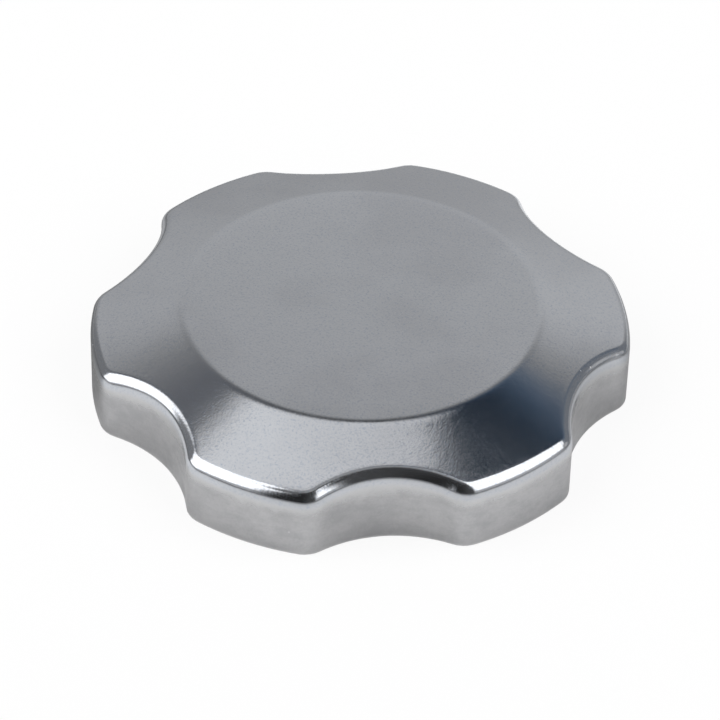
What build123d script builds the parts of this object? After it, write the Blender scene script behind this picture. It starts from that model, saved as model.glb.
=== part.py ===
from build123d import *
import math
import os

os.makedirs("parts", exist_ok=True)

# Bayonet fuel tank cap of a small engine: a six-lobed steel pressing over a sprung gasket and
# a two-claw locking bracket. Millimetres, Z up, origin at the centre of the rim's plane.

# Outer pressing
lobe_count = 6
lobe_radius = 38.0
scallop_depth = 4.6
scallop_radius = 18.4
corner_radius = 3.9
crown_height = 13.8
crown_radius = 25.3
crown_bend = 3.0
shoulder_angle = 15.8
edge_roll = 1.9
shell_sheet = 0.8
rim_round = 0.25

# Filler neck that the cap closes: how far it enters, and what it asks of the claws
neck_entry = 5.2
claw_grip = 2.8
claw_reach = 23.5

# Inner cup, welded under the crown by small projections that leave a gap for air
cup_sheet = 0.6
cup_bend = 1.0
cup_fit = 0.35
cup_land_margin = 0.3
cup_shelf_gap = 0.9
cup_shelf_width = 2.75
cup_skirt_length = 2.0
well_radius = 15.0
weld_gap = 0.35
weld_count = 6
weld_radius = 1.0
weld_inset = 2.6

# Gasket and the sprung ring that carries it
gasket_width = 6.9
gasket_thickness = 2.5
gasket_round = 0.3
ring_sheet = 0.6
ring_bend = 0.9
ring_running_gap = 0.6
ring_overlap = 3.3
ring_lip = 1.4
gasket_play = 0.5
gasket_fit = 0.1

# Retainer plate, whose flange carries the ring
retainer_sheet = 0.8
retainer_bend = 1.1
retainer_skirt = 2.1

# Wave spring between the cup and the ring
spring_waves = 3
spring_width = 3.6
spring_sheet = 0.5
spring_seat_gap = 0.05
spring_play = 1.0
spring_split = 4.0

# Filter and its pierced support
support_height = 1.8
support_sheet = 0.5
support_bend = 0.8
support_play = 1.1
support_holes = 8
support_hole_radius = 1.3
support_hole_circle = 9.0
filter_play = 0.4
filter_top_gap = 0.1

# Locking bracket
bracket_sheet = 1.2
bracket_width = 13.0
bracket_bend = 2.0
bracket_flat = 27.0
leg_run = 3.7
lead_in_length = 2.5
lead_in_drop = 0.6
detent_radius = 1.5
detent_height = 0.4
detent_inset = 3.0
pip_radius = 1.2
pip_height = 0.7
pip_spacing = 18.0
pip_fit = 0.1

# Center rivet and its washer
rivet_radius = 2.5
rivet_fit = 0.1
rivet_head_radius = 4.2
rivet_head_height = 1.0
set_head_radius = 3.8
set_head_height = 0.8
rivet_bore_radius = 1.4
rivet_bore_depth = 2.2
washer_radius = 5.0
washer_thickness = 0.6

# Umbrella valve
valve_lip_radius = 3.6
valve_lip_thickness = 0.5
valve_hub_height = 1.1
valve_stem_radius = 1.2
valve_stem_fit = 0.1
valve_bulb_radius = 1.7
valve_bulb_height = 1.1
valve_gap = 0.8
breather_holes = 3
breather_hole_radius = 0.55
breather_circle = 2.3

# Levels, from the rim upwards
gasket_face = neck_entry
ring_seat = gasket_face + gasket_thickness
bracket_top = ring_seat - retainer_sheet
washer_top = bracket_top - bracket_sheet
set_head_top = washer_top - washer_thickness
claw_top = gasket_face - claw_grip
claw_underside = claw_top - bracket_sheet
well_floor = ring_seat + cup_sheet
ring_top = ring_seat + ring_sheet
support_top = well_floor + support_height
crown_underside = crown_height - shell_sheet
cup_top = crown_underside - weld_gap
spring_ceiling = cup_top - cup_sheet

# Radii, from the well outwards
well_outer = well_radius + cup_sheet
ring_inner = well_outer + ring_running_gap
retainer_radius = ring_inner + ring_overlap
gasket_inner = retainer_radius + gasket_play
gasket_outer = gasket_inner + gasket_width
ring_outer = gasket_outer + gasket_fit + ring_sheet
spring_inner = well_outer + spring_play
cup_outer = lobe_radius - scallop_depth - shell_sheet - cup_fit
cup_shelf_inner = cup_outer - cup_shelf_width
cup_land = crown_radius - cup_land_margin
weld_circle = well_outer + weld_inset
valve_offset = bracket_width / 2 + valve_gap + valve_lip_radius


def shoulder_height(radius):
    # Height of the outer cone at a distance from the axis
    return crown_height - (radius - crown_radius) * math.tan(math.radians(shoulder_angle))


def distance_from_axis(point):
    return math.hypot(point.X, point.Y)


def lobed_outline(inset):
    # Finger lobes seen from above, drawn inside the outer surface by the inset
    scallop_circle = lobe_radius - scallop_depth + scallop_radius
    with BuildSketch() as outline:
        Circle(lobe_radius - inset)
        with PolarLocations(scallop_circle, lobe_count):
            Circle(scallop_radius + inset, mode=Mode.SUBTRACT)
        fillet(outline.vertices(), corner_radius - inset)
    return outline.sketch


def pressed_form(inset):
    # Solid under the pressing's surface, taken the inset deep: lobed wall, cone, flat crown
    crown = crown_height - inset
    crown_edge = crown_radius - inset * math.tan(math.radians(shoulder_angle / 2))
    wall_top = shoulder_height(lobe_radius) - inset / math.cos(math.radians(shoulder_angle))
    with BuildPart() as form:
        with BuildSketch():
            add(lobed_outline(inset))
        extrude(amount=crown_height)
        with BuildSketch(Plane.XZ):
            with BuildLine():
                shoulder = FilletPolyline(
                    (0, crown),
                    (crown_edge, crown),
                    (lobe_radius, wall_top),
                    radius=crown_bend - inset,
                )
                Polyline(shoulder @ 1, (lobe_radius, 0), (0, 0), shoulder @ 0)
            make_face()
        revolve(axis=Axis.Z, mode=Mode.INTERSECT)
        wall_edge = form.edges().filter_by(
            lambda edge: (edge @ 0.5).Z > wall_top / 2 + 1
            and distance_from_axis(edge @ 0.5) > lobe_radius - scallop_depth - inset - 0.5
        )
        fillet(wall_edge, edge_roll - inset)
    return form.part


def turned_sheet(points, bend, sheet):
    # Sheet ring turned about the axis: the points lead along one face, the metal lies to their right
    with BuildPart() as ring:
        with BuildSketch(Plane.XZ):
            with BuildLine():
                FilletPolyline(*points, radius=bend)
                offset(amount=sheet, side=Side.RIGHT)
            make_face()
        revolve(axis=Axis.Z)
    return ring.part


# Outer shell
with BuildPart() as outer_shell:
    add(pressed_form(0))
    add(pressed_form(shell_sheet), mode=Mode.SUBTRACT)
    rim = outer_shell.faces().sort_by(Axis.Z)[0]
    fillet(rim.outer_wire().edges(), rim_round)
outer_shell.part.label = "outer_shell"
export_step(outer_shell.part, "parts/outer_shell.step")

# Breather passages through the retainer and the cup's floor, round the valve's stem
breather_places = PolarLocations(breather_circle, breather_holes, start_angle=90).locations

# Inner cup: well, land under the crown, slope to a shelf below the shoulder, locating skirt
cup_shelf = shoulder_height(cup_outer) - shell_sheet - cup_shelf_gap
with BuildPart() as inner_cup:
    add(
        turned_sheet(
            [
                (0, well_floor),
                (well_radius, well_floor),
                (well_radius, cup_top),
                (cup_land, cup_top),
                (cup_shelf_inner, cup_shelf),
                (cup_outer, cup_shelf),
                (cup_outer, cup_shelf - cup_skirt_length),
            ],
            cup_bend,
            cup_sheet,
        )
    )
    with BuildSketch(Plane.XY.offset(cup_top)):
        with PolarLocations(weld_circle, weld_count, start_angle=30):
            Circle(weld_radius)
    extrude(amount=weld_gap)
    with BuildSketch(Plane.XY.offset(spring_ceiling)):
        with PolarLocations(weld_circle, weld_count, start_angle=30):
            Circle(weld_radius)
    extrude(amount=weld_gap, mode=Mode.SUBTRACT)
    with Locations((0, 0, well_floor)):
        Hole(rivet_radius + rivet_fit)
    with Locations((0, valve_offset, well_floor)):
        Hole(valve_stem_radius + valve_stem_fit)
        with Locations(*breather_places):
            Hole(breather_hole_radius)
inner_cup.part.label = "inner_cup"
export_step(inner_cup.part, "parts/inner_cup.step")

# Filter support
with BuildPart() as filter_support:
    add(
        turned_sheet(
            [
                (0, support_top),
                (well_radius - support_play, support_top),
                (well_radius - support_play, well_floor),
            ],
            support_bend,
            support_sheet,
        )
    )
    with Locations((0, 0, support_top)):
        with PolarLocations(support_hole_circle, support_holes):
            Hole(support_hole_radius)
filter_support.part.label = "filter_support"
export_step(filter_support.part, "parts/filter_support.step")

# Vent filter
with BuildPart() as vent_filter:
    with BuildSketch(Plane.XY.offset(support_top)):
        Circle(well_radius - filter_play)
    extrude(amount=crown_underside - filter_top_gap - support_top)
vent_filter.part.label = "vent_filter"
export_step(vent_filter.part, "parts/vent_filter.step")

# Retainer plate
with BuildPart() as retainer_plate:
    add(
        turned_sheet(
            [
                (0, ring_seat),
                (retainer_radius, ring_seat),
                (retainer_radius, ring_seat - retainer_skirt),
            ],
            retainer_bend,
            retainer_sheet,
        )
    )
    with Locations((0, 0, ring_seat)):
        Hole(rivet_radius + rivet_fit)
        with GridLocations(pip_spacing, 1, 2, 1):
            Hole(pip_radius + pip_fit)
    with Locations((0, valve_offset, ring_seat)):
        Hole(valve_stem_radius + valve_stem_fit)
        with Locations(*breather_places):
            Hole(breather_hole_radius)
retainer_plate.part.label = "retainer_plate"
export_step(retainer_plate.part, "parts/retainer_plate.step")

# Umbrella valve, turned about its own stem
valve_axis = Axis((0, valve_offset, 0), (0, 0, 1))
with BuildPart() as umbrella_valve:
    with BuildSketch(Plane.XZ.offset(-valve_offset)):
        with BuildLine():
            hub_foot = (0, bracket_top - valve_hub_height)
            lip_edge = (valve_lip_radius, bracket_top - valve_lip_thickness)
            bulb_crown = (0, well_floor + valve_bulb_height)
            Line(hub_foot, bulb_crown)
            bulb = TangentArc(bulb_crown, (valve_bulb_radius, well_floor), tangent=(1, 0))
            Polyline(
                bulb @ 1,
                (valve_stem_radius, well_floor),
                (valve_stem_radius, bracket_top),
                (valve_lip_radius, bracket_top),
                lip_edge,
            )
            TangentArc(hub_foot, lip_edge, tangent=(1, 0))
        make_face()
    revolve(axis=valve_axis)
umbrella_valve.part.label = "umbrella_valve"
export_step(umbrella_valve.part, "parts/umbrella_valve.step")

# Detent form: the cap of a ball
detent_ball = (detent_radius**2 + detent_height**2) / (2 * detent_height)
with BuildPart() as detent:
    with Locations((0, 0, detent_height - detent_ball)):
        Sphere(detent_ball)
    with BuildSketch():
        Circle(detent_radius)
    extrude(amount=detent_height, mode=Mode.INTERSECT)

# Locking bracket: a strip bent down to two claws, its ends rounded to the neck
claw_leading = [(1, -1), (-1, 1)]
with BuildPart() as locking_bracket:
    with BuildSketch(Plane.XZ.offset(-bracket_width / 2)):
        with BuildLine():
            FilletPolyline(
                (-claw_reach, claw_top),
                (-bracket_flat / 2 - leg_run, claw_top),
                (-bracket_flat / 2, bracket_top),
                (bracket_flat / 2, bracket_top),
                (bracket_flat / 2 + leg_run, claw_top),
                (claw_reach, claw_top),
                radius=bracket_bend,
            )
            offset(amount=bracket_sheet, side=Side.RIGHT)
        make_face()
    extrude(amount=bracket_width)
    with BuildSketch():
        Circle(claw_reach)
    extrude(amount=bracket_top, mode=Mode.INTERSECT)
    # Leading edges slope off, so that the claws ride under the neck's cams
    for side, lead in claw_leading:
        lead_start = side * (bracket_flat / 2 + leg_run)
        with BuildSketch(Plane.YZ.offset(lead_start)):
            with BuildLine():
                Polyline(
                    (lead * bracket_width / 2, claw_top - lead_in_drop),
                    (lead * bracket_width / 2, claw_top),
                    (lead * (bracket_width / 2 - lead_in_length), claw_top),
                    close=True,
                )
            make_face()
        extrude(amount=side * (claw_reach - bracket_flat / 2), mode=Mode.SUBTRACT)
    # Detents pressed up through the claws
    detent_place = claw_reach - detent_inset
    with Locations((detent_place, 0, claw_top), (-detent_place, 0, claw_top)):
        add(detent.part)
    with Locations((detent_place, 0, claw_underside), (-detent_place, 0, claw_underside)):
        add(detent.part, mode=Mode.SUBTRACT)
    # Pips sheared up from the strip into the retainer, so that the bracket can't turn on the rivet
    with BuildSketch(Plane.XY.offset(bracket_top)):
        with GridLocations(pip_spacing, 1, 2, 1):
            Circle(pip_radius)
    extrude(amount=pip_height)
    with BuildSketch(Plane.XY.offset(washer_top)):
        with GridLocations(pip_spacing, 1, 2, 1):
            Circle(pip_radius)
    extrude(amount=pip_height, mode=Mode.SUBTRACT)
    with Locations((0, 0, bracket_top)):
        Hole(rivet_radius + rivet_fit)
locking_bracket.part.label = "locking_bracket"
export_step(locking_bracket.part, "parts/locking_bracket.step")

# Rivet washer
with BuildPart() as rivet_washer:
    with BuildSketch(Plane.XY.offset(set_head_top)):
        Circle(washer_radius)
        Circle(rivet_radius + rivet_fit, mode=Mode.SUBTRACT)
    extrude(amount=washer_thickness)
rivet_washer.part.label = "rivet_washer"
export_step(rivet_washer.part, "parts/rivet_washer.step")

# Center rivet: domed head in the well, set head under the washer, tubular end
set_head_foot = set_head_top - set_head_height
with BuildPart() as center_rivet:
    with BuildSketch(Plane.XZ):
        with BuildLine():
            head_crown = (0, well_floor + rivet_head_height)
            head_edge = (rivet_head_radius, well_floor)
            dome = TangentArc(head_crown, head_edge, tangent=(1, 0))
            Polyline(
                dome @ 1,
                (rivet_radius, well_floor),
                (rivet_radius, set_head_top),
                (set_head_radius, set_head_top),
            )
            roll = ThreePointArc(
                (set_head_radius, set_head_top),
                (set_head_radius - set_head_height * 0.25, set_head_foot + set_head_height * 0.25),
                (set_head_radius - set_head_height, set_head_foot),
            )
            Polyline(
                roll @ 1,
                (rivet_bore_radius, set_head_foot),
                (rivet_bore_radius, set_head_foot + rivet_bore_depth),
                (0, set_head_foot + rivet_bore_depth + rivet_bore_radius / 2),
                dome @ 0,
            )
        make_face()
    revolve(axis=Axis.Z)
center_rivet.part.label = "center_rivet"
export_step(center_rivet.part, "parts/center_rivet.step")

# Wave spring: one turn of flat strip that rises and falls between the ring and the cup
wave_low = ring_top + spring_seat_gap
wave_rise = (spring_ceiling - spring_seat_gap - spring_sheet - wave_low) / 2
points_per_wave = 8


def wave_edge(radius):
    # Lower edge of the strip at one radius, lowest at its ends and between the waves
    points = []
    for step in range(spring_waves * points_per_wave + 1):
        share = step / (spring_waves * points_per_wave)
        angle = math.radians(spring_split / 2 + share * (360 - spring_split))
        height = wave_low + wave_rise * (1 - math.cos(2 * math.pi * spring_waves * share))
        points.append((radius * math.cos(angle), radius * math.sin(angle), height))
    return Spline(*points)


with BuildPart() as wave_spring:
    with BuildLine():
        inner_edge = wave_edge(spring_inner)
        outer_edge = wave_edge(spring_inner + spring_width)
    extrude(
        Face.make_surface_from_curves(inner_edge, outer_edge),
        amount=spring_sheet,
        dir=(0, 0, 1),
    )
wave_spring.part.label = "wave_spring"
export_step(wave_spring.part, "parts/wave_spring.step")

# Pressure ring
with BuildPart() as pressure_ring:
    add(
        turned_sheet(
            [(ring_inner, ring_top), (ring_outer, ring_top), (ring_outer, ring_seat - ring_lip)],
            ring_bend,
            ring_sheet,
        )
    )
pressure_ring.part.label = "pressure_ring"
export_step(pressure_ring.part, "parts/pressure_ring.step")

# Gasket
with BuildPart() as gasket:
    with BuildSketch(Plane.XY.offset(gasket_face)):
        Circle(gasket_outer)
        Circle(gasket_inner, mode=Mode.SUBTRACT)
    extrude(amount=gasket_thickness)
    fillet(gasket.edges(), gasket_round)
gasket.part.label = "gasket"
export_step(gasket.part, "parts/gasket.step")
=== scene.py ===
import math

import bmesh
import bpy
from mathutils import Matrix, Vector
from mathutils.noise import voronoi


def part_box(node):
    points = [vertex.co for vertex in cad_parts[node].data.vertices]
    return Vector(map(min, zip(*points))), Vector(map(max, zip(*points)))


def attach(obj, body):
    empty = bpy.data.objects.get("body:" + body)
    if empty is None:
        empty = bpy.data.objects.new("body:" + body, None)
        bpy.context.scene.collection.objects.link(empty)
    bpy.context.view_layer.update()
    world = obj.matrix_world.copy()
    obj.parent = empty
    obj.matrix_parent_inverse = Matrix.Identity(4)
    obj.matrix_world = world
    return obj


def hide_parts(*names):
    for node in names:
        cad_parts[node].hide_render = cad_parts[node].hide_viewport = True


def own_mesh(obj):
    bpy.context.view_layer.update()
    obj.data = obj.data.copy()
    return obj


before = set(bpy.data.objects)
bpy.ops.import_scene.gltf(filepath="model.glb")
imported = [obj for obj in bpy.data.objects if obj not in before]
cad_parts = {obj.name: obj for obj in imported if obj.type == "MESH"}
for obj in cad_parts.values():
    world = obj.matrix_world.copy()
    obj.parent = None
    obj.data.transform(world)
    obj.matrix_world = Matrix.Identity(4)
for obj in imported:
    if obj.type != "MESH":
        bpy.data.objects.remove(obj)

# Fuel tank cap: a lobed, plated shell over its breather, seal and bayonet bracket
scene = bpy.context.scene
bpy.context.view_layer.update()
mm = 0.001
mergeReach = 2e-6               # metres; points closer than this become one
sliver = 1e-6                   # metres; edges shorter than this go


# A socket that can be reckoned with, in a shader or a geometry tree
class Wire:
    def __init__(self, tree, socket=None):
        self.tree = tree
        self.socket = socket

    def node(self, kind, settings=None, inputs=None, output=0):
        made = self.tree.nodes.new(kind)
        for name, value in (settings or {}).items():     # first, because some change the sockets
            setattr(made, name, value)
        for name, value in (inputs or {}).items():
            if isinstance(value, Wire):
                self.tree.links.new(value.socket, made.inputs[name])
            else:
                made.inputs[name].default_value = value
        return Wire(self.tree, made.outputs[output])

    def outputs(self, *names):           # several outputs of the node that this one comes from
        return [Wire(self.tree, self.socket.node.outputs[name]) for name in names]

    def maths(self, operation, second=None, first=None):     # this one is first, unless one is given
        values = {0: self if first is None else first}
        if second is not None:
            values[1] = second
        return self.node("ShaderNodeMath", {"operation": operation}, values)

    def __add__(self, other):
        return self.maths("ADD", other)

    def __sub__(self, other):
        return self.maths("SUBTRACT", other)

    def __mul__(self, other):
        return self.maths("MULTIPLY", other)

    def __truediv__(self, other):
        return self.maths("DIVIDE", other)

    def __lt__(self, other):
        return self.maths("LESS_THAN", other)

    def __gt__(self, other):
        return self.maths("GREATER_THAN", other)

    def __neg__(self):
        return self.maths("MULTIPLY", -1.0)

    def __rsub__(self, other):
        return self.maths("SUBTRACT", self, other)

    def __rtruediv__(self, other):
        return self.maths("DIVIDE", self, other)

    __radd__ = __add__
    __rmul__ = __mul__

    def blend(self, low, high):          # low where this is 0, high where it is 1
        return low + self * (high - low)

    def step(self, start, end, low=0.0, high=1.0):   # smooth change from low to high
        return self.node("ShaderNodeMapRange", {"interpolation_type": "SMOOTHSTEP"},
                         {"Value": self, "From Min": start, "From Max": end,
                          "To Min": low, "To Max": high})

    def tint(self, low, high):           # colour between two
        low, high = (c if isinstance(c, Wire) else (*c, 1.0) for c in (low, high))
        return self.node("ShaderNodeMix", {"data_type": "RGBA"}, {0: self, 6: low, 7: high}, 2)

    def vector(self, operation, inputs=None, output=0):
        return self.node("ShaderNodeVectorMath", {"operation": operation},
                         {0: self, **(inputs or {})}, output)


# Camera, at the photograph's viewing angle
cameraView = {
    "turn": 23.10,              # degrees round the cap
    "height": 40.05,            # degrees above the floor
    "roll": 1.554,              # degrees
    "distance": 0.5554,
    "target": (0.0, 0.0, 0.007),
    "lens": 196.5,
    "sensor": 36.0,
    "shift": (-0.0004, -0.0280),
    "sight": (0.01, 20.0),      # nearest and farthest thing seen, in metres
}


def makeCamera(look):
    turn, height, roll = (math.radians(look[k]) for k in ("turn", "height", "roll"))
    back = Vector((math.sin(turn) * math.cos(height), -math.cos(turn) * math.cos(height),
                   math.sin(height)))
    right = Vector((math.cos(turn), math.sin(turn), 0.0))
    up = back.cross(right)
    tiltedRight = right * math.cos(roll) + up * math.sin(roll)
    tiltedUp = up * math.cos(roll) - right * math.sin(roll)
    camera = bpy.data.objects.new("camera", bpy.data.cameras.new("camera"))
    scene.collection.objects.link(camera)
    place = Matrix((tiltedRight, tiltedUp, back)).transposed().to_4x4()
    place.translation = Vector(look["target"]) + back * look["distance"]
    camera.matrix_world = place
    camera.data.lens = look["lens"]
    camera.data.sensor_width = look["sensor"]
    camera.data.shift_x, camera.data.shift_y = look["shift"]
    camera.data.clip_start, camera.data.clip_end = look["sight"]
    scene.camera = camera


makeCamera(cameraView)
print("camera in place")


# Studio: paper for a floor, a softbox on each side, a lamp below for views of the inside, and a
# tent round it all for the metal to mirror. A bearing turns clockwise from where the camera looks
studio = {
    "leftBox": {"bearing": -104.0, "lift": 42.0, "away": 1.0, "size": (1.15, 0.75), "glow": 0.65},
    "rightBox": {"bearing": 104.0, "lift": 42.0, "away": 1.0, "size": (1.15, 0.75), "glow": 0.65},
    "underLight": {"below": 0.7, "across": 1.2, "glow": 1.0},
    "fill": 0.45,               # what matt surfaces get from the world
}


def studioPoint(bearing, lift, away):
    turn = math.radians(cameraView["turn"] - bearing)
    flat = math.cos(math.radians(lift))
    return Vector((-math.sin(turn) * flat, math.cos(turn) * flat, math.sin(math.radians(lift)))) * away


def hangLamp(name, lamp, place, turn):
    holder = bpy.data.objects.new(name, lamp)
    scene.collection.objects.link(holder)
    holder.location = place
    holder.rotation_euler = turn
    holder.visible_camera = holder.visible_glossy = False


def makeSoftbox(name, look):
    lamp = bpy.data.lights.new(name, "AREA")
    lamp.shape = "RECTANGLE"
    lamp.size, lamp.size_y = look["size"]
    lamp.energy = look["glow"] * math.pi * lamp.size * lamp.size_y
    place = studioPoint(look["bearing"], look["lift"], look["away"])
    hangLamp(name, lamp, place, (-place).to_track_quat("-Z", "Y").to_euler())


def makeUnderLight(name, look):
    lamp = bpy.data.lights.new(name, "AREA")
    lamp.shape, lamp.size = "DISK", look["across"]
    lamp.energy = look["glow"] * math.pi * math.pi * (look["across"] / 2) ** 2
    hangLamp(name, lamp, (0.0, 0.0, -look["below"]), (math.pi, 0.0, 0.0))


def lightPaths(start):
    # 1 for rays from the camera or through glass, and 1 for rays off metal
    straight, mirrored, through = start.node("ShaderNodeLightPath").outputs(
        "Is Camera Ray", "Is Glossy Ray", "Is Transmission Ray")
    return straight.maths("MAXIMUM", through), mirrored


def glowing(start, kind, strength, colour=(1, 1, 1, 1)):
    return start.node(kind, None, {"Color": colour, "Strength": strength})


def makeWorld():
    world = bpy.data.worlds.new("studio")
    scene.world = world
    world.use_nodes = True
    tree = world.node_tree
    tree.nodes.clear()
    start = Wire(tree)
    straight, mirrored = lightPaths(start)
    fill = glowing(start, "ShaderNodeBackground", studio["fill"])
    white = glowing(start, "ShaderNodeBackground", 1.0)
    mixed = start.node("ShaderNodeMixShader", None,
                       {0: straight.maths("MAXIMUM", mirrored), 1: fill, 2: white})
    output = tree.nodes.new("ShaderNodeOutputWorld")
    tree.links.new(mixed.socket, output.inputs["Surface"])


def newMaterial(name):
    # The material, a start for its wires, and the place on the object
    material = bpy.data.materials.new(name)
    material.use_nodes = True
    material.node_tree.nodes.clear()
    start = Wire(material.node_tree)
    return material, start, start.node("ShaderNodeTexCoord", output="Object")


def endMaterial(material, shader):
    output = material.node_tree.nodes.new("ShaderNodeOutputMaterial")
    material.node_tree.links.new(shader.socket, output.inputs["Surface"])
    return material


def objectFrom(form, name, material):
    # Turns a bmesh into an object
    mesh = bpy.data.meshes.new(name)
    form.to_mesh(mesh)
    form.free()
    mesh.materials.append(material)
    made = bpy.data.objects.new(name, mesh)
    scene.collection.objects.link(made)
    return made


paper = {
    "halfSize": 2.5,
    "squares": 8,
    "colour": (0.86, 0.86, 0.86, 1.0),
    "whiteShare": 0.88,         # how far the camera sees it as plain white
    "mirroredShare": 0.15,      # the same for the metal
    "openRadius": 0.0350,       # metres, of the opening under the cap
    "openWave": 0.0017,         # metres, by which the opening follows the lobes
    "lobes": 6.0,
    "reach": 0.036,             # metres; below, places are in reaches: from and to, then brightness
    # painted shade round the cap's foot, in what the metal mirrors
    "footShade": (1.0, 1.2, 0.82, 1.0),
    "outwards": (1.5, 3.5, 1.0, 0.5),
    "forwards": (1.0, 2.8, 1.0, 0.55),
    "bandNear": (-0.5, 0.4),
    "bandFar": (1.2, 0.8),
    "bandShade": 0.55,
    "leftEdge": (0.75, 0.95),
    "leftNear": (-0.4, -0.1),
    "leftShade": 0.45,
}


def floorMaterial():
    # White paper that keeps the shadow. Metal mirrors it as a small sheet with soft ends, with painted
    # shade round the cap's foot, across the middle and at the left. Views from below look through it
    # into the cap
    material, start, place = newMaterial("studioFloor")
    straight, mirrored = lightPaths(start)
    x, y = start.node("ShaderNodeSeparateXYZ", None, {0: place}).outputs(0, 1)
    far = place.vector("LENGTH", output="Value")
    out, left, away = far / paper["reach"], -x / paper["reach"], y / paper["reach"]
    # the mirrored sheet is dimmed near the cap's foot, across the middle and at the left: painted shade
    sheet = out.step(*paper["footShade"]) * out.step(*paper["outwards"]) * (-away).step(*paper["forwards"])
    band = away.step(*paper["bandNear"]) * away.step(*paper["bandFar"])
    corner = left.step(*paper["leftEdge"]) * away.step(*paper["leftNear"])
    sheet = sheet * (1.0 - paper["bandShade"] * band) * (1.0 - paper["leftShade"] * corner)
    share = straight * paper["whiteShare"] + mirrored * paper["mirroredShare"]
    matt = start.node("ShaderNodeBsdfDiffuse", None, {"Color": paper["colour"]})
    white = glowing(start, "ShaderNodeEmission", 1.0)
    black = glowing(start, "ShaderNodeEmission", 0.0)
    lit = start.node("ShaderNodeMixShader", None, {0: share, 1: matt, 2: white})
    lit = start.node("ShaderNodeMixShader", None, {0: mirrored * (1.0 - sheet), 1: lit, 2: black})
    turn = y.maths("ARCTAN2", x) + math.radians(cameraView["turn"])
    below = start.node("ShaderNodeNewGeometry", output="Backfacing")
    lobes = (turn * paper["lobes"]).maths("COSINE") * paper["openWave"]
    opening = (far < paper["openRadius"] - lobes).maths("MAXIMUM", below)
    nothing = start.node("ShaderNodeBsdfTransparent")
    return endMaterial(material, start.node("ShaderNodeMixShader", None,
                                            {0: opening, 1: lit, 2: nothing}))


tent = {                        # a row leads from one bearing or zenith angle to another, in degrees,
    "radius": 1.6,              # and, where it has four numbers, from one brightness to another
    "segments": 72,
    "cut": -0.01,               # metres, where it ends below the floor
    "cloth": (-25.0, 25.0, 0.55, 0.64),
    "clothFoot": (66.0, 84.0, 1.0, 0.82),
    "foldSide": (30.0, 10.0),
    "foldTop": (54.0, 47.0),
    "foldShade": 0.13,
    "beside": (37.0, 47.0),
    "besideGlow": 0.27,
    "front": (85.0, 105.0),
    "frontGlow": 0.62,
    "gapStart": (-20.0, 20.0, 36.0, 32.0),           # to zenith angles, as the two below
    "gapEnd": (-26.0, -6.0, 58.0, 47.0),
    "gapWider": (6.0, 26.0, 0.0, 13.0),
    "gapGlow": (-30.0, 20.0, 0.17, 0.03),
    "ceilingEnd": (10.0, 30.0, 30.5, 26.0),          # to a zenith angle
    "ceilingBlur": (-3.4, 3.4),
    "ceilingAway": (0.20, 0.40),         # metres
    "ceilingRight": (32.3, 30.1),
    "ceilingGlow": (-30.0, 20.0, 0.97, 0.84),
    "overhead": (13.0, 6.0),
    "overheadGlow": 0.42,
    "cardReach": 0.0255,                 # metres, as the three below
    "cardHeight": 0.0115,
    "cardBlur": (-0.0006, 0.0010),
    "cardGlow": (-0.3, 0.5, 0.03, 0.085),
    "cardSide": (138.0, 150.0),
    "cardTop": (7.0, 13.0),
    "sheenBearing": 81.0,
    "sheenWidth": 9.0,
    "sheenZenith": 75.0,
    "sheenHeight": 11.0,
    "sheenBlur": (1.3, 0.2),
    "sheenGlow": 0.62,
    "panels": (                          # near and far edge as bearings, low and high as zenith angles
        {"side": -1.0, "near": (28.0, 70.0, 52.0, 80.0), "far": (0.0, 90.0, 141.0, 141.0),
         "low": (104.0, 142.0, 86.0, 72.0), "high": (95.0, 141.0, 13.0, 31.0)},
        {"side": 1.0, "near": (22.0, 74.0, 51.0, 93.0), "far": (15.0, 60.0, 135.0, 140.0),
         "low": (0.0, 180.0, 74.0, 74.0), "high": (95.0, 141.0, 11.0, 20.0)},
    ),
    "panelBlur": 4.0,
    "panelTopBlur": 2.0,
    "panelGlow": 2.1,
    "coolAcross": (-20.0, 20.0),
    "coolLeft": (0.94, 1.0, 1.14),
    "coolRight": (0.58, 0.96, 1.50),
    "coolStart": (0.0, 25.0),
    "coolEnd": (110.0, 80.0),
    "coolShade": (0.34, 0.03),           # brightness where it starts to turn cool, and is fully so
}


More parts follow.
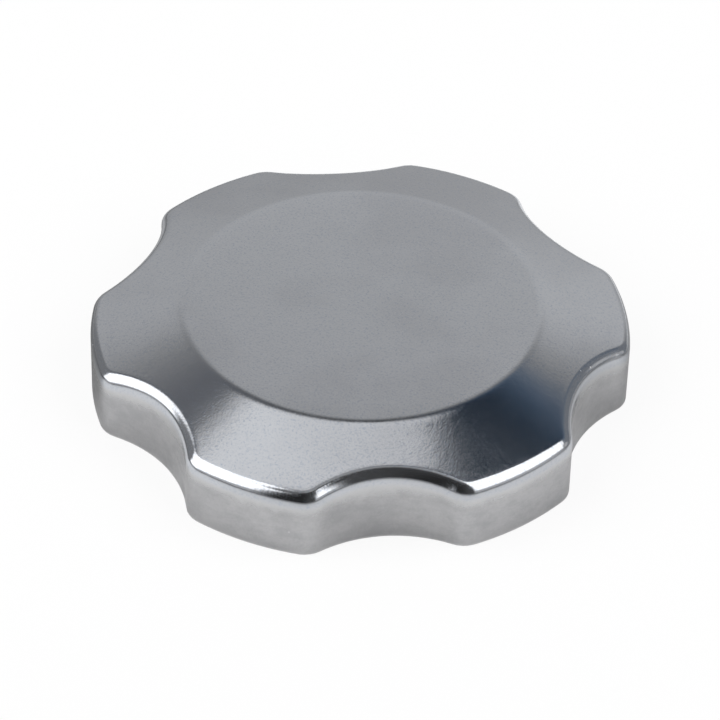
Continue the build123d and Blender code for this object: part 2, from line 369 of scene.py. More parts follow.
def tentMaterial():
    material, start, place = newMaterial("studioTent")
    x, y, z = start.node("ShaderNodeSeparateXYZ", None, {0: place}).outputs(0, 1, 2)
    bearing = x.maths("ARCTAN2", y) * (180 / math.pi)
    zenith = (z / tent["radius"]).maths("ARCCOSINE") * (180 / math.pi)
    side = bearing.maths("ABSOLUTE")
    # grey cloth behind the cap with a fold in it, darker beside it and plain in front
    fold = side.step(*tent["foldSide"]) * zenith.step(*tent["foldTop"])
    cloth = bearing.step(*tent["cloth"]) * zenith.step(*tent["clothFoot"]) \
        * (1.0 - tent["foldShade"] * fold)
    cloth = side.step(*tent["beside"]).blend(cloth, tent["besideGlow"])
    cloth = side.step(*tent["front"]).blend(cloth, tent["frontGlow"])
    # a dark gap above the cloth
    gapStart = bearing.step(*tent["gapStart"])
    gapEnd = bearing.step(*tent["gapEnd"]) + bearing.step(*tent["gapWider"])
    outOfGap = ((zenith - gapStart) / (gapEnd - gapStart)).step(0.0, 1.0)
    glow = outOfGap.blend(bearing.step(*tent["gapGlow"]), cloth)
    # a bright ceiling beyond the cap, dimmer overhead
    ceiling = (bearing.step(*tent["ceilingEnd"]) - zenith).step(*tent["ceilingBlur"]) \
        * y.step(*tent["ceilingAway"]) * bearing.step(*tent["ceilingRight"])
    glow = ceiling.blend(glow, bearing.step(*tent["ceilingGlow"]))
    glow = zenith.step(*tent["overhead"]).blend(glow, tent["overheadGlow"])
    # a black card in front, so close that the cap's edge mirrors it but its crown doesn't
    length = place.vector("LENGTH", output="Value")
    behind = length - start.node("ShaderNodeLightPath", output="Ray Length")
    level = z / length
    nearEdge = tent["cardReach"] * (1.0 - level * level).maths("SQRT") + tent["cardHeight"] * level
    card = side.step(*tent["cardSide"]) * zenith.step(*tent["cardTop"]) \
        * (behind - nearEdge).step(*tent["cardBlur"])
    glow = card.blend(glow, x.step(*tent["cardGlow"]))
    # a soft sheen at the right, and one white panel on each side
    aside = (bearing - tent["sheenBearing"]) / tent["sheenWidth"]
    down = (zenith - tent["sheenZenith"]) / tent["sheenHeight"]
    glow = (aside * aside + down * down).step(*tent["sheenBlur"]).blend(glow, tent["sheenGlow"])
    blur, topBlur = tent["panelBlur"], tent["panelTopBlur"]
    for edges in tent["panels"]:
        across = bearing * edges["side"]
        near, far = (zenith.step(*edges[name]) for name in ("near", "far"))
        low, high = (side.step(*edges[name]) for name in ("low", "high"))
        panel = (across - near).step(-blur, blur) * (far - across).step(-blur, blur) \
            * (low - zenith).step(-blur, blur) * (zenith - high).step(-topBlur, topBlur)
        glow = panel.blend(glow, tent["panelGlow"])
    # what is dark ahead, beside the middle, is cool, most of all at the right
    cool = bearing.step(*tent["coolAcross"]).tint(tent["coolLeft"], tent["coolRight"])
    share = side.step(*tent["coolStart"]) * side.step(*tent["coolEnd"]) * glow.step(*tent["coolShade"])
    colour = share.tint((1, 1, 1), cool).vector("SCALE", {"Scale": glow})
    material.cycles.emission_sampling = "NONE"
    return endMaterial(material, glowing(start, "ShaderNodeEmission", 1.0, colour))


def makeStage():
    form = bmesh.new()
    bmesh.ops.create_grid(form, x_segments=paper["squares"], y_segments=paper["squares"],
                          size=paper["halfSize"])
    floor = objectFrom(form, "floor", floorMaterial())
    floor.visible_shadow = False
    form = bmesh.new()
    bmesh.ops.create_uvsphere(form, u_segments=tent["segments"], v_segments=tent["segments"] // 2,
                              radius=tent["radius"])
    bmesh.ops.delete(form, geom=[v for v in form.verts if v.co.z < tent["cut"]], context="VERTS")
    bmesh.ops.reverse_faces(form, faces=form.faces)
    dome = objectFrom(form, "tent", tentMaterial())
    dome.visible_camera = False
    for item in (floor, dome):
        item.rotation_euler.z = math.radians(cameraView["turn"])


makeWorld()
makeStage()
makeSoftbox("leftBox", studio["leftBox"])
makeSoftbox("rightBox", studio["rightBox"])
makeUnderLight("underLight", studio["underLight"])
scene.view_settings.view_transform = "Standard"
print("studio in place")


# Finishes. A noise is its scale per metre, detail and roughness; an edge is where it starts and ends
def noise(place, scale, detail, rough):
    return place.node("ShaderNodeTexNoise", None,
                      {"Vector": place, "Scale": scale, "Detail": detail, "Roughness": rough}, "Fac")


def cells(place, scale, feature="F1"):
    return place.node("ShaderNodeTexVoronoi", {"feature": feature},
                      {"Vector": place, "Scale": scale}, "Distance")


def finish(material, start, colour, metallic, roughness, height, depth, specular=0.5):
    bump = start.node("ShaderNodeBump", None, {"Height": height, "Strength": 1.0, "Distance": depth})
    return endMaterial(material, start.node(
        "ShaderNodeBsdfPrincipled", None,
        {"Base Color": colour, "Metallic": metallic, "Roughness": roughness, "Normal": bump,
         "Specular IOR Level": specular}))


plating = {
    "colour": (0.580, 0.596, 0.628),
    "tarnish": (0.522, 0.535, 0.564),
    "smudges": (48.0, 3.0, 0.55),
    "smudgeEdge": (0.42, 0.62),
    "smudgeShare": 0.7,         # of the tarnish; the rest follows the grain
    "roughness": (0.40, 0.72, 0.085, 0.125),         # along the smudges
    "blotches": (210.0, 4.0, 0.6),
    "grain": (3200.0, 2.0, 0.6),
    "relief": 0.0000052,        # metres
    "blotchRelief": 3.0,
    "pits": (3200.0, 3.0, 0.75),
    "pitEdge": (0.47, 0.74),
    "pitColour": (0.340, 0.400, 0.500),
    "pitShare": 0.55,
    "pitRoughness": 0.21,
    "wallEdge": (0.02, 0.26),   # share of the way down the wall
    "wallRagged": 0.12,
    # the wall is lightest just under the roll and darker below: partly its duller plating, partly
    # painted shade
    "wallTop": (0.570, 0.572, 0.578),
    "wallTopEdge": (0.0, 0.10),
    "wallColourAndShade": (0.500, 0.500, 0.508),
    "wallTarnish": (0.400, 0.401, 0.412),
    "wallTarnishEdge": (0.33, 0.67),
    "wallMix": (0.25, 0.55, 0.20),       # drawing marks, blotches and grain in the wall's tarnish
    "wallRoughness": (0.28, 0.39),
    "drawMarks": (500.0, 4.0, 0.6),
    "drawMarkStretch": (1.0, 1.0, 2.2),
    "drawMarkRelief": 1.2,
    # lighter rim: bare trimmed steel and a painted highlight
    "rimColourAndHighlight": (0.66, 0.66, 0.67),
    "rimEdge": (0.00055, 0.0002),        # metres above the floor
    "rimShare": 0.7,
    "dustCells": 430.0,
    "dustEdge": (0.075, 0.045),
    "dustPatches": (150.0, 1.0, 0.5),
    "dustPatchEdge": (0.64, 0.67),
    "dustColour": (0.70, 0.70, 0.70),
    "dustShare": 0.6,
    "dustRoughness": 0.3,
    "dustDulls": 0.5,
}


def platingMaterial():
    # Bright and grained on top; satin with drawing marks down the wall, darker there partly by painted
    # shade; bare and lighter along the rim, partly a painted highlight
    look = plating
    material, start, place = newMaterial("brightPlating")
    down = start.node("ShaderNodeAttribute", {"attribute_name": "wallShare"}, output="Fac")
    height = start.node("ShaderNodeSeparateXYZ", None, {0: place}, 2)
    stretched = start.node("ShaderNodeMapping", None,
                           {"Vector": place, "Scale": look["drawMarkStretch"]})
    drawMarks = noise(stretched, *look["drawMarks"])
    smudge, blotch, grain = (noise(place, *look[name]) for name in ("smudges", "blotches", "grain"))
    pits = noise(place, *look["pits"]).step(*look["pitEdge"])
    wall = (down + (blotch - 0.5) * look["wallRagged"]).step(*look["wallEdge"])
    rim = height.step(*look["rimEdge"])
    specks = cells(place, look["dustCells"]).step(*look["dustEdge"]) \
        * noise(place, *look["dustPatches"]).step(*look["dustPatchEdge"])
    tarnish = smudge.step(*look["smudgeEdge"]) * look["smudgeShare"] \
        + grain * (1.0 - look["smudgeShare"])
    marked, blotched, grained = look["wallMix"]
    sides = (drawMarks * marked + blotch * blotched + grain * grained).step(*look["wallTarnishEdge"])
    colour = tarnish.tint(look["colour"], look["tarnish"])
    colour = (pits * look["pitShare"]).tint(colour, look["pitColour"])
    # wall colour, lightest just under the roll and darker below: partly the duller satin plating,
    # partly painted shade that the wall mirrors
    colour = down.step(*look["wallTopEdge"]).tint(colour, look["wallTop"])
    colour = wall.tint(colour, sides.tint(look["wallColourAndShade"], look["wallTarnish"]))
    # the rim is lighter: partly bare trimmed steel, partly a painted highlight where its round catches
    # light
    colour = (rim * look["rimShare"]).tint(colour, look["rimColourAndHighlight"])
    colour = (specks * look["dustShare"]).tint(colour, look["dustColour"])
    roughness = pits.blend(smudge.step(*look["roughness"]), look["pitRoughness"])
    roughness = wall.blend(roughness, sides.step(0.0, 1.0, *look["wallRoughness"])) \
        + specks * look["dustRoughness"]
    relief = grain + blotch * look["blotchRelief"] + wall * drawMarks * look["drawMarkRelief"]
    return finish(material, start, colour, 1.0 - specks * look["dustDulls"], roughness, relief,
                  look["relief"])


metals = {                      # mottling and grain are scales per metre
    "zincSteel": {"light": (0.60, 0.61, 0.63), "dark": (0.50, 0.51, 0.53), "roughness": 0.26,
                  "mottle": 120.0, "grain": 3000.0, "relief": 0.000003},
    "rivetSteel": {"light": (0.58, 0.58, 0.59), "dark": (0.47, 0.47, 0.48), "roughness": 0.22,
                   "mottle": 300.0, "grain": 3600.0, "relief": 0.000003},
    "springSteel": {"light": (0.40, 0.41, 0.44), "dark": (0.24, 0.26, 0.30), "roughness": 0.28,
                    "mottle": 180.0, "grain": 3600.0, "relief": 0.000002},
}
mottling = {
    "cloud": (4.0, 0.6),        # detail and roughness
    "grain": (2.0, 0.5),
    "spanglesFiner": 4.0,
    "spangleShare": 0.35,
    "darkEdge": (0.35, 0.85),
    "darkRougher": 0.12,
    "grainRougher": 0.05,
}


def metalMaterial(name):
    look = metals[name]
    material, start, place = newMaterial(name)
    cloud = noise(place, look["mottle"], *mottling["cloud"])
    spangle = cells(place, look["mottle"] * mottling["spanglesFiner"])
    grain = noise(place, look["grain"], *mottling["grain"])
    dark = (cloud + spangle * mottling["spangleShare"]).step(*mottling["darkEdge"])
    roughness = dark.step(0.0, 1.0, look["roughness"], look["roughness"] + mottling["darkRougher"])
    return finish(material, start, dark.tint(look["light"], look["dark"]), 1.0,
                  roughness + grain * mottling["grainRougher"], grain, look["relief"])


passivate = {
    "film": (210.0, 3.0, 0.55),
    "filmEdge": (0.32, 0.68),
    "yellow": (0.66, 0.47, 0.17),
    "straw": (0.60, 0.50, 0.24),
    "bands": (95.0, 1.0, 0.5),
    "redEdge": (0.52, 0.66),
    "red": (0.58, 0.36, 0.26),
    "greenEdge": (0.44, 0.34),
    "green": (0.42, 0.50, 0.27),
    "metallic": 0.95,
    "roughness": (0.3, 0.7, 0.24, 0.38),
    "grain": (3200.0, 2.0, 0.5),
    "relief": 0.000002,
}


def passivatedMaterial():
    material, start, place = newMaterial("yellowPassivate")
    film, bands, grain = (noise(place, *passivate[name]) for name in ("film", "bands", "grain"))
    colour = film.step(*passivate["filmEdge"]).tint(passivate["yellow"], passivate["straw"])
    colour = bands.step(*passivate["redEdge"]).tint(colour, passivate["red"])
    colour = bands.step(*passivate["greenEdge"]).tint(colour, passivate["green"])
    return finish(material, start, colour, passivate["metallic"],
                  film.step(*passivate["roughness"]), grain, passivate["relief"])


rubbers = {
    "gasketRubber": {"light": (0.030, 0.030, 0.031), "dark": (0.017, 0.017, 0.018),
                     "roughness": 0.55, "specular": 0.4},
    "valveRubber": {"light": (0.135, 0.040, 0.026), "dark": (0.085, 0.024, 0.017),
                    "roughness": 0.45, "specular": 0.45},
}
rubberSkin = {
    "bloom": (160.0, 4.0, 0.6),
    "bloomEdge": (0.35, 0.75),
    "roughEdge": (0.3, 0.7),
    "bloomRougher": 0.15,
    "grain": (4200.0, 2.0, 0.6),
    "relief": 0.000006,
    "talc": (1500.0, 1.0, 0.5),
    "talcEdge": (0.66, 0.74),
    "talcShare": 0.25,
    "talcColour": (0.30, 0.29, 0.28),
}


def rubberMaterial(name):
    look, skin = rubbers[name], rubberSkin
    material, start, place = newMaterial(name)
    bloom, grain, talc = (noise(place, *skin[part]) for part in ("bloom", "grain", "talc"))
    colour = bloom.step(*skin["bloomEdge"]).tint(look["dark"], look["light"])
    colour = (talc.step(*skin["talcEdge"]) * skin["talcShare"]).tint(colour, skin["talcColour"])
    roughness = bloom.step(*skin["roughEdge"], look["roughness"],
                           look["roughness"] + skin["bloomRougher"])
    return finish(material, start, colour, 0.0, roughness, grain, skin["relief"], look["specular"])


foamLook = {
    "pores": 1900.0,
    "poreEdge": (0.01, 0.20),
    "poreShare": 0.65,          # the rest are the wide ones
    "widePores": 1050.0,
    "widePoreEdge": (0.02, 0.26),
    "strands": (0.13, 0.133, 0.138),
    # pores' dark colour: painted shade inside the open cells
    "hollowShade": (0.026, 0.027, 0.030),
    "roughness": 0.92,
    "depth": 0.00025,           # metres
}


def foamMaterial():
    look = foamLook
    material, start, place = newMaterial("filterFoam")
    small, wide = (cells(place, look[name], "DISTANCE_TO_EDGE") for name in ("pores", "widePores"))
    pore = small.step(*look["poreEdge"]) * look["poreShare"] \
        + wide.step(*look["widePoreEdge"]) * (1.0 - look["poreShare"])
    # the pores take a dark colour: painted shade in the hollows
    return finish(material, start, pore.tint(look["strands"], look["hollowShade"]), 0.0,
                  look["roughness"], -pore, look["depth"])


finishes = {
    "bright_plating": platingMaterial(),
    "zinc_steel": metalMaterial("zincSteel"),
    "bracket_steel": passivatedMaterial(),
    "rivet_steel": metalMaterial("rivetSteel"),
    "spring_steel": metalMaterial("springSteel"),
    "gasket_rubber": rubberMaterial("gasketRubber"),
    "valve_rubber": rubberMaterial("valveRubber"),
    "filter_foam": foamMaterial(),
}
slotOfNode = {
    "outer_shell": "bright_plating", "inner_cup": "zinc_steel", "filter_support": "zinc_steel",
    "retainer_plate": "zinc_steel", "pressure_ring": "zinc_steel",
    "locking_bracket": "bracket_steel", "rivet_washer": "rivet_steel",
    "center_rivet": "rivet_steel", "wave_spring": "spring_steel", "gasket": "gasket_rubber",
    "umbrella_valve": "valve_rubber", "vent_filter": "filter_foam",
}
for nodeName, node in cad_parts.items():        # the solids wear the same finishes
    node.data.materials.clear()
    node.data.materials.append(finishes[slotOfNode[nodeName]])
print("finishes made")


# Outer shell: strips that follow one lobed outline, from crown to rim and back inside
shellSizes = {                  # millimetres and degrees
    "Lobe Count": 6.0,
    "Lobe Radius": 38.0,
    "Scallop Depth": 4.6,
    "Scallop Radius": 18.4,
    "Corner Radius": 3.9,
    "Crown Height": 13.8,
    "Crown Radius": 25.3,
    "Crown Bend": 6.0,
    "Shoulder Angle": 15.8,
    "Edge Roll": 1.9,
    "Sheet": 0.8,
    "Rim Round": 0.25,
    "Steps Around": 648,
}
outlineSizes = ("Lobe Count", "Lobe Radius", "Scallop Depth", "Scallop Radius", "Corner Radius")
stripRows = {"crown": 9, "bend": 7, "shoulder": 15, "roll": 13, "wall": 9, "rimRound": 5, "rim": 3}


def outlineGroup():
    # Distance from the axis to the lobed outline at an angle, drawn inside by an inset, and
    # the wall's outward direction there, as its parts away from the axis and sideways
    group = bpy.data.node_groups.new("lobedOutline", "GeometryNodeTree")
    for name in ("Angle", "Inset", *outlineSizes):
        group.interface.new_socket(name=name, in_out="INPUT", socket_type="NodeSocketFloat")
    for name in ("Radius", "Outward", "Sideways"):
        group.interface.new_socket(name=name, in_out="OUTPUT", socket_type="NodeSocketFloat")
    source = group.nodes.new("NodeGroupInput")
    given = {s.name: Wire(group, s) for s in source.outputs if s.name}
    lobe, inset = given["Lobe Radius"], given["Inset"]
    across = lobe - given["Scallop Depth"] + given["Scallop Radius"]   # to the scallop's centre
    toCorner = lobe - given["Corner Radius"]
    span = given["Scallop Radius"] + given["Corner Radius"]
    cornerCos = (toCorner * toCorner + across * across - span * span) / (2.0 * toCorner * across)
    cornerAngle = cornerCos.maths("ARCCOSINE")
    cornerX, cornerY = toCorner * cornerCos, toCorner * cornerAngle.maths("SINE")
    halfLobe = math.pi / given["Lobe Count"]
    angle = given["Angle"].maths("PINGPONG", halfLobe)
    folded = (given["Angle"] / halfLobe).maths("FLOORED_MODULO", 2.0) > 1.0
    cosine, sine = angle.maths("COSINE"), angle.maths("SINE")
    scallop = given["Scallop Radius"] + inset
    corner = given["Corner Radius"] - inset
    meetX = across + scallop * (cornerX - across) / span
    meetY = scallop * cornerY / span
    meetAngle = meetY.maths("ARCTAN2", meetX)
    offSide = across * sine
    inScallop = across * cosine - (scallop * scallop - offSide * offSide).maths("SQRT")
    along = cornerX * cosine + cornerY * sine
    inCorner = along + (corner * corner - toCorner * toCorner + along * along).maths("SQRT")
    isScallop, isLobe = angle < meetAngle, angle > cornerAngle
    radius = isLobe.blend(isScallop.blend(inCorner, inScallop), lobe - inset)
    outward = isScallop.blend((inCorner - along) / corner, (across * cosine - inScallop) / scallop)
    sideways = isScallop.blend((cornerX * sine - cornerY * cosine) / corner, -offSide / scallop)
    sink = group.nodes.new("NodeGroupOutput")
    group.links.new(radius.socket, sink.inputs["Radius"])
    group.links.new(isLobe.blend(outward, 1.0).socket, sink.inputs["Outward"])
    group.links.new((isLobe.blend(sideways, 0.0) * folded.blend(1.0, -1.0)).socket,
                    sink.inputs["Sideways"])
    return group


def treeWithInputs(name, sizes):
    # A new geometry tree with one named input for each size
    tree = bpy.data.node_groups.new(name, "GeometryNodeTree")
    tree.is_modifier = True
    for label, value in sizes.items():
        kind = "NodeSocketInt" if isinstance(value, int) else "NodeSocketFloat"
        tree.interface.new_socket(name=label, in_out="INPUT", socket_type=kind)
    tree.interface.new_socket(name="Geometry", in_out="OUTPUT", socket_type="NodeSocketGeometry")
    source = tree.nodes.new("NodeGroupInput")
    return tree, Wire(tree), {s.name: Wire(tree, s) for s in source.outputs if s.name}


def endTree(tree, geometry, material):
    geometry = geometry.node("GeometryNodeRealizeInstances", None, {"Geometry": geometry})
    geometry = geometry.node("GeometryNodeSetMaterial", None,
                             {"Geometry": geometry, "Material": material})
    sink = tree.nodes.new("NodeGroupOutput")
    tree.links.new(geometry.socket, sink.inputs["Geometry"])
    return tree


def shellTree(outline, material):
    tree, start, size = treeWithInputs("pressedShell", shellSizes)
    around = size["Steps Around"] + 1.0
    index = start.node("GeometryNodeInputIndex")
    turn = index.maths("FLOORED_MODULO", around) / size["Steps Around"] * (2.0 * math.pi)
    row = (index / around).maths("FLOOR")
    cosine, sine = turn.maths("COSINE"), turn.maths("SINE")
    slope = size["Shoulder Angle"] * (math.pi / 180.0)
    slopeSin, slopeCos, slopeTan = (slope.maths(n) for n in ("SINE", "COSINE", "TANGENT"))
    halfTan = (slope * 0.5).maths("TANGENT")
    roll, rim, sheet = size["Edge Roll"], size["Rim Round"], size["Sheet"]

    # A ball as large as the edge roll runs round under the shoulder and touches the wall too
    shape = {"Angle": turn, "Inset": roll, **{name: size[name] for name in outlineSizes}}
    ball, outward, sideways = start.node("GeometryNodeGroup", {"node_tree": outline}, shape).outputs(
        "Radius", "Outward", "Sideways")
    ballHeight = size["Crown Height"] - (ball - size["Crown Radius"]) * slopeTan - roll / slopeCos
    sweep = (slopeSin * outward).maths("ARCCOSINE")
    strips = []

    def wallAt(inset):
        reach = roll - inset
        return ball + reach * outward, reach * sideways

    def rollAt(reach, share):
        # On the ball, from where it touches the shoulder to where it touches the wall
        above = ((1.0 - share) * sweep).maths("SINE") / sweep.maths("SINE")
        beside = (share * sweep).maths("SINE") / sweep.maths("SINE")
        return (ball + reach * (above * slopeSin + beside * outward), reach * beside * sideways,
                ballHeight + reach * above * slopeCos)

    def addStrip(name, place, onWall=False, inside=False):
        # Place gives the distance from the axis, the shift sideways and the height at a share
        rows = stripRows[name]
        share = row / (rows - 1.0)
        away, aside, height = place(share)
        position = start.node("ShaderNodeCombineXYZ", None,
                              {0: away * cosine - aside * sine, 1: away * sine + aside * cosine,
                               2: height})
        grid = start.node("GeometryNodeMeshGrid", None,
                          {"Size X": 1.0, "Size Y": 1.0, "Vertices X": rows, "Vertices Y": around})
        strip = start.node("GeometryNodeSetPosition", None, {"Geometry": grid, "Position": position})
        strip = start.node("GeometryNodeStoreNamedAttribute", {"data_type": "FLOAT", "domain": "POINT"},
                           {"Geometry": strip, "Name": "wallShare", "Value": share if onWall else 0.0})
        if inside:
            strip = start.node("GeometryNodeFlipFaces", None, {"Mesh": strip})
        strips.append(strip)

    def addFace(inset, inside):
        # One face of the sheet: crown, bend, shoulder, roll and wall
        top = size["Crown Height"] - inset
        edge = size["Crown Radius"] - inset * halfTan
        bend = size["Crown Bend"] - inset
        reach = roll - inset
        flat = edge - bend * halfTan
        bendEnd, bendFoot = flat + bend * slopeSin, top - bend * (1.0 - slopeCos)
        wallAway, wallAside = wallAt(inset)
        addStrip("crown", lambda f: (flat * f, 0.0, top), inside=inside)
        addStrip("bend", lambda f: (flat + bend * (slope * f).maths("SINE"), 0.0,
                                    top - bend * (1.0 - (slope * f).maths("COSINE"))), inside=inside)
        addStrip("shoulder", lambda f: (f.blend(bendEnd, ball + reach * slopeSin), 0.0,
                                        f.blend(bendFoot, ballHeight + reach * slopeCos)),
                 inside=inside)
        addStrip("roll", lambda f: rollAt(reach, f), inside=inside)
        addStrip("wall", lambda f: (wallAway, wallAside, f.blend(ballHeight, rim)),
                 onWall=not inside, inside=inside)

    addFace(0.0, inside=False)
    quarter = math.pi / 2.0
    addStrip("rimRound", lambda f: (*wallAt(rim * (1.0 - (f * quarter).maths("COSINE"))),
                                    rim - rim * (f * quarter).maths("SINE")))
    addStrip("rim", lambda f: (*wallAt(f.blend(rim, sheet - rim)), 0.0))
    addStrip("rimRound", lambda f: (*wallAt(sheet - rim * (1.0 - (f * quarter).maths("SINE"))),
                                    rim - rim * (f * quarter).maths("COSINE")))
    addFace(sheet, inside=True)
    joined = tree.nodes.new("GeometryNodeJoinGeometry")
    for strip in strips:
        tree.links.new(strip.socket, joined.inputs[0])
    whole = start.node("GeometryNodeTransform", None,
                       {"Geometry": Wire(tree, joined.outputs[0]), "Scale": (mm, mm, mm)})
    whole = start.node("GeometryNodeMergeByDistance", None, {"Geometry": whole, "Distance": mergeReach})
    whole = start.node("GeometryNodeSetShadeSmooth", None, {"Geometry": whole, "Shade Smooth": True})
    return endTree(tree, whole, material)


def grown(name, tree, values):
    # Runs a geometry tree once and keeps its result as a plain mesh
    holder = bpy.data.objects.new(name + "_source", bpy.data.meshes.new(name + "_source"))
    scene.collection.objects.link(holder)
    modifier = holder.modifiers.new("grow", "NODES")
    modifier.node_group = tree
    for item in tree.interface.items_tree:
        if item.item_type == "SOCKET" and item.in_out == "INPUT" and item.name in values:
            modifier[item.identifier] = values[item.name]
    bpy.context.view_layer.update()
    depsgraph = bpy.context.evaluated_depsgraph_get()
    mesh = bpy.data.meshes.new_from_object(holder.evaluated_get(depsgraph))
    mesh.name = name
    holder.modifiers.remove(modifier)
    bpy.data.objects.remove(holder)
    piece = bpy.data.objects.new(name, mesh)
    scene.collection.objects.link(piece)
    return piece


def dress(piece, node, body):
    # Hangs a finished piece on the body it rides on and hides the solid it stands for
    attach(piece, body)
    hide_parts(node)


shell = grown("plated_shell", shellTree(outlineGroup(), finishes["bright_plating"]), shellSizes)
dress(shell, "outer_shell", "cap")
print("shell pressed:", len(shell.data.polygons), "faces")


# Wave spring: one turn of flat strip, rolled edges, that rises and falls three times
def extent(node):
    low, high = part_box(node)
    return [c / mm for c in low], [c / mm for c in high]


springLow, springHigh = extent("wave_spring")
springSizes = {                 # millimetres and degrees
    "Outer Radius": springHigh[1],
    "Strip Width": 3.6,
    "Sheet": 0.5,
    "Edge Round": 0.14,
    "Lowest": springLow[2],
    "Highest": springHigh[2],
    "Waves": 3.0,
    "Split": 4.0,
    "Steps": 241,
    "Round Steps": 4,
    "Crease": 50.0,
}


def springTree(material):
    tree, start, size = treeWithInputs("waveSpring", springSizes)
    split = size["Split"] * (math.pi / 180.0)
    line = start.node("GeometryNodeCurveArc", {"mode": "RADIUS"},
                      {"Resolution": size["Steps"], "Start Angle": split * 0.5,
                       "Radius": size["Outer Radius"] - size["Strip Width"] * 0.5,
                       "Sweep Angle": 2.0 * math.pi - split})
    share = start.node("GeometryNodeSplineParameter", output="Factor")
    swing = (size["Highest"] - size["Lowest"] - size["Sheet"]) * 0.5
    height = size["Lowest"] + size["Sheet"] * 0.5 \
        + swing * (1.0 - (share * size["Waves"] * (2.0 * math.pi)).maths("COSINE"))
    line = start.node("GeometryNodeSetPosition", None,
                      {"Geometry": line,
                       "Offset": start.node("ShaderNodeCombineXYZ", None, {2: height})})
    line = start.node("GeometryNodeSetCurveNormal", {"mode": "Z_UP"}, {"Curve": line})
    strip = start.node("GeometryNodeCurvePrimitiveQuadrilateral", {"mode": "RECTANGLE"},
                       {"Width": size["Strip Width"], "Height": size["Sheet"]})
    strip = start.node("GeometryNodeFilletCurve", {"mode": "POLY"},
                       {"Curve": strip, "Count": size["Round Steps"], "Radius": size["Edge Round"]})
    spring = start.node("GeometryNodeCurveToMesh", None,
                        {"Curve": line, "Profile Curve": strip, "Fill Caps": True})
    spring = start.node("GeometryNodeTransform", None, {"Geometry": spring, "Scale": (mm, mm, mm)})
    spring = start.node("GeometryNodeSetShadeSmooth", None, {"Geometry": spring, "Shade Smooth": True})
    bent = start.node("GeometryNodeInputMeshEdgeAngle") > size["Crease"] * (math.pi / 180.0)
    spring = start.node("GeometryNodeSetShadeSmooth", {"domain": "EDGE"},
                        {"Geometry": spring, "Selection": bent, "Shade Smooth": False})
    return endTree(tree, spring, material)


spring = grown("flexing_spring", springTree(finishes["spring_steel"]), springSizes)
dress(spring, "wave_spring", "cap")
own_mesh(spring)
print("spring coiled")


# Turned soft parts: gasket, valve and filter
def arc(centre, radius, first, last, steps=6):
    # Points on a round, angles in degrees from outward to upward
    turns = [math.radians(first + (last - first) * i / steps) for i in range(steps + 1)]
    return [(centre[0] + radius * math.cos(t), centre[1] + radius * math.sin(t)) for t in turns]


def spread(first, last, steps):
    # Points between two, without the two
    return [(first[0] + (last[0] - first[0]) * i / steps, first[1] + (last[1] - first[1]) * i / steps)
            for i in range(1, steps)]


def turnedPiece(name, profile, material, steps, middle=(0.0, 0.0), closed=False, shake=None):
    # Turns a profile of (distance, height) points, in millimetres, about an upright axis
    form = bmesh.new()
    rings = []
    for i in range(steps):
        turn = 2.0 * math.pi * i / steps
        rings.append([form.verts.new(((middle[0] + r * math.cos(turn)) * mm,
                                      (middle[1] + r * math.sin(turn)) * mm, z * mm))
                      for r, z in profile])
    count = len(profile)
    for i, ring in enumerate(rings):
        after = rings[(i + 1) % steps]
        for j in range(count if closed else count - 1):
            k = (j + 1) % count
            form.faces.new((ring[j], after[j], after[k], ring[k]))
    bmesh.ops.remove_doubles(form, verts=form.verts, dist=mergeReach)
    bmesh.ops.dissolve_degenerate(form, edges=form.edges, dist=sliver)
    if shake:
        form.normal_update()
        for vertex, shift in [(v, shake(v.co)) for v in form.verts]:
            vertex.co -= vertex.normal * shift
    bmesh.ops.recalc_face_normals(form, faces=form.faces)
    for face in form.faces:
        face.smooth = True
    return objectFrom(form, name, material)


gasketShape = {                 # millimetres
    "width": 6.9,
    "round": 0.3,
    "waist": 0.06,
    "steps": 240,
}


def makeGasket():
    # Flat ring cut from sheet: rounded edges, and sides that draw in a little
    low, high = extent("gasket")
    soft, outer, inner = gasketShape["round"], high[0], high[0] - gasketShape["width"]
    middle = (low[2] + high[2]) / 2
    profile = arc((outer - soft, low[2] + soft), soft, -90, 0) \
        + [(outer - gasketShape["waist"], middle)] \
        + arc((outer - soft, high[2] - soft), soft, 0, 90) \
        + arc((inner + soft, high[2] - soft), soft, 90, 180) \
        + [(inner + gasketShape["waist"], middle)] \
        + arc((inner + soft, low[2] + soft), soft, 180, 270)
    ring = turnedPiece("moulded_gasket", profile, finishes["gasket_rubber"], gasketShape["steps"],
                       closed=True)
    dress(ring, "gasket", "seal")


valveShape = {                  # millimetres
    "lip": 0.45,                # thickness at the umbrella's edge
    "hub": 1.1,                 # thickness in its middle
    "domeSteps": 12,
    "stem": 1.2,
    "bulb": 1.7,
    "bulbHeight": 1.1,
    "bulbFullness": 0.8,        # 1 is a plain round, less is fuller
    "bulbTurn": 12,             # degrees between its points
    "round": 0.18,
    "lipTurn": -60,             # degrees, where the edge's round starts
    "steps": 96,
}


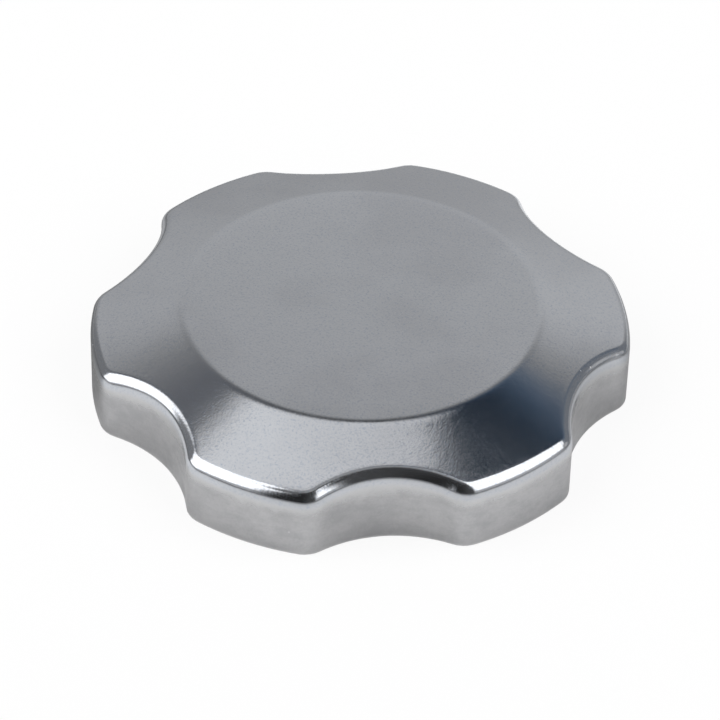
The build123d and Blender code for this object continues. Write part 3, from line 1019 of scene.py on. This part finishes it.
def makeValve():
    # Umbrella of thin rubber on a stem that is pulled through the plate and held by its bulb
    shape = valveShape
    low, high = extent("umbrella_valve")
    lip, soft, stem, bulb = high[0], shape["round"], shape["stem"], shape["bulb"]
    seat = low[2] + shape["hub"]
    shoulder = high[2] - shape["bulbHeight"]
    drop = shape["hub"] - shape["lip"]
    shares = [i / shape["domeSteps"] for i in range(shape["domeSteps"])]
    turns = [math.radians(degrees) for degrees in range(shape["bulbTurn"], 90, shape["bulbTurn"])]
    profile = [(lip * share, low[2] + drop * share ** 2) for share in shares] \
        + arc((lip - soft, seat - soft), soft, shape["lipTurn"], 90) \
        + [(stem + soft, seat), (stem, seat + soft), (stem, shoulder - soft)] \
        + arc((bulb - soft, shoulder + soft), soft, -90, 0) \
        + [(bulb * math.cos(turn) ** shape["bulbFullness"],
            shoulder + soft + (shape["bulbHeight"] - soft) * math.sin(turn)) for turn in turns] \
        + [(0.0, high[2])]
    place = (0.0, (low[1] + high[1]) / 2)
    valve = turnedPiece("moulded_valve", profile, finishes["valve_rubber"], shape["steps"], place)
    dress(valve, "umbrella_valve", "cap")


foamShape = {                   # millimetres
    "cellSize": 0.9,
    "cellReach": 0.55,          # cells, how far a pit reaches from its middle
    "cellDepth": 0.16,
    "edgeRound": 0.35,
    "roundSteps": 4,
    "waist": 0.18,
    "rings": 34,
    "steps": 200,
}


def makeFoam():
    # Disc stamped from open-cell foam: pitted faces, edge drawn in by the cutter
    shape = foamShape
    low, high = extent("vent_filter")
    radius, soft, steps = high[0], shape["edgeRound"], shape["roundSteps"]
    middle = (low[2] + high[2]) / 2
    flat = radius - soft
    profile = [(0.0, low[2])] + spread((0.0, low[2]), (flat, low[2]), shape["rings"]) \
        + arc((flat, low[2] + soft), soft, -90, 0, steps) + [(radius - shape["waist"], middle)] \
        + arc((flat, high[2] - soft), soft, 0, 90, steps) \
        + spread((flat, high[2]), (0.0, high[2]), shape["rings"]) + [(0.0, high[2])]

    def pits(place):
        toCell = voronoi(place / (shape["cellSize"] * mm))[0][0]
        return max(0.0, shape["cellReach"] - toCell) * shape["cellDepth"] * mm / shape["cellReach"]

    foam = turnedPiece("foam_disc", profile, finishes["filter_foam"], shape["steps"], shake=pits)
    dress(foam, "vent_filter", "cap")


makeGasket()
makeValve()
makeFoam()
print("soft parts made")


# Steel parts: the solids' own forms, merged, with their sharp edges broken as by tumbling
steelParts = {                  # node: (piece, body, broken edge in millimetres)
    "inner_cup": ("pressed_cup", "cap", 0.07),
    "filter_support": ("pierced_support", "cap", 0.06),
    "retainer_plate": ("flanged_retainer", "cap", 0.08),
    "pressure_ring": ("flanged_ring", "seal", 0.07),
    "locking_bracket": ("bayonet_bracket", "cap", 0.12),
    "rivet_washer": ("steel_washer", "cap", 0.08),
    "center_rivet": ("tubular_rivet", "cap", 0.06),
}
tumbling = {
    "flat": 0.4,                # degrees; faces that differ less are one
    "sharp": 40.0,              # degrees; edges sharper than this are broken
    "creased": 35.0,            # degrees; what is sharper than this afterwards is shaded as a crease
    "segments": 3,
    "shortestRun": 2.0,         # millimetres; shorter runs of sharp edges are left as they are
}


def chainsOf(edges):
    # Edges that touch one another, group by group
    waiting = dict.fromkeys(edges)
    chains = []
    while waiting:
        front = [next(iter(waiting))]
        del waiting[front[0]]
        chains.append([])
        while front:
            edge = front.pop()
            chains[-1].append(edge)
            for other in (e for v in edge.verts for e in v.link_edges):
                if other in waiting:
                    del waiting[other]
                    front.append(other)
    return chains


def brokenEdges(node, name, body, width):
    form = bmesh.new()
    form.from_mesh(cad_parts[node].data)
    bmesh.ops.remove_doubles(form, verts=form.verts, dist=mergeReach)
    bmesh.ops.dissolve_limit(form, angle_limit=math.radians(tumbling["flat"]), verts=form.verts,
                             edges=form.edges)
    sharp = [e for e in form.edges
             if e.is_manifold and e.calc_face_angle() > math.radians(tumbling["sharp"])]
    for chain in chainsOf(sharp):        # apart, because the shortest edge limits a whole bevel
        if sum(e.calc_length() for e in chain) > tumbling["shortestRun"] * mm:
            bmesh.ops.bevel(form, geom=chain, offset=width * mm, offset_type="OFFSET",
                            segments=tumbling["segments"], profile=0.5, affect="EDGES",
                            clamp_overlap=True)
    bmesh.ops.dissolve_degenerate(form, edges=form.edges, dist=sliver)
    for face in form.faces:
        face.smooth = True
    for edge in form.edges:
        edge.smooth = edge.is_manifold and edge.calc_face_angle() < math.radians(tumbling["creased"])
    dress(objectFrom(form, name, finishes[slotOfNode[node]]), node, body)


for node, (name, body, width) in steelParts.items():
    brokenEdges(node, name, body, width)
print("steel parts finished")
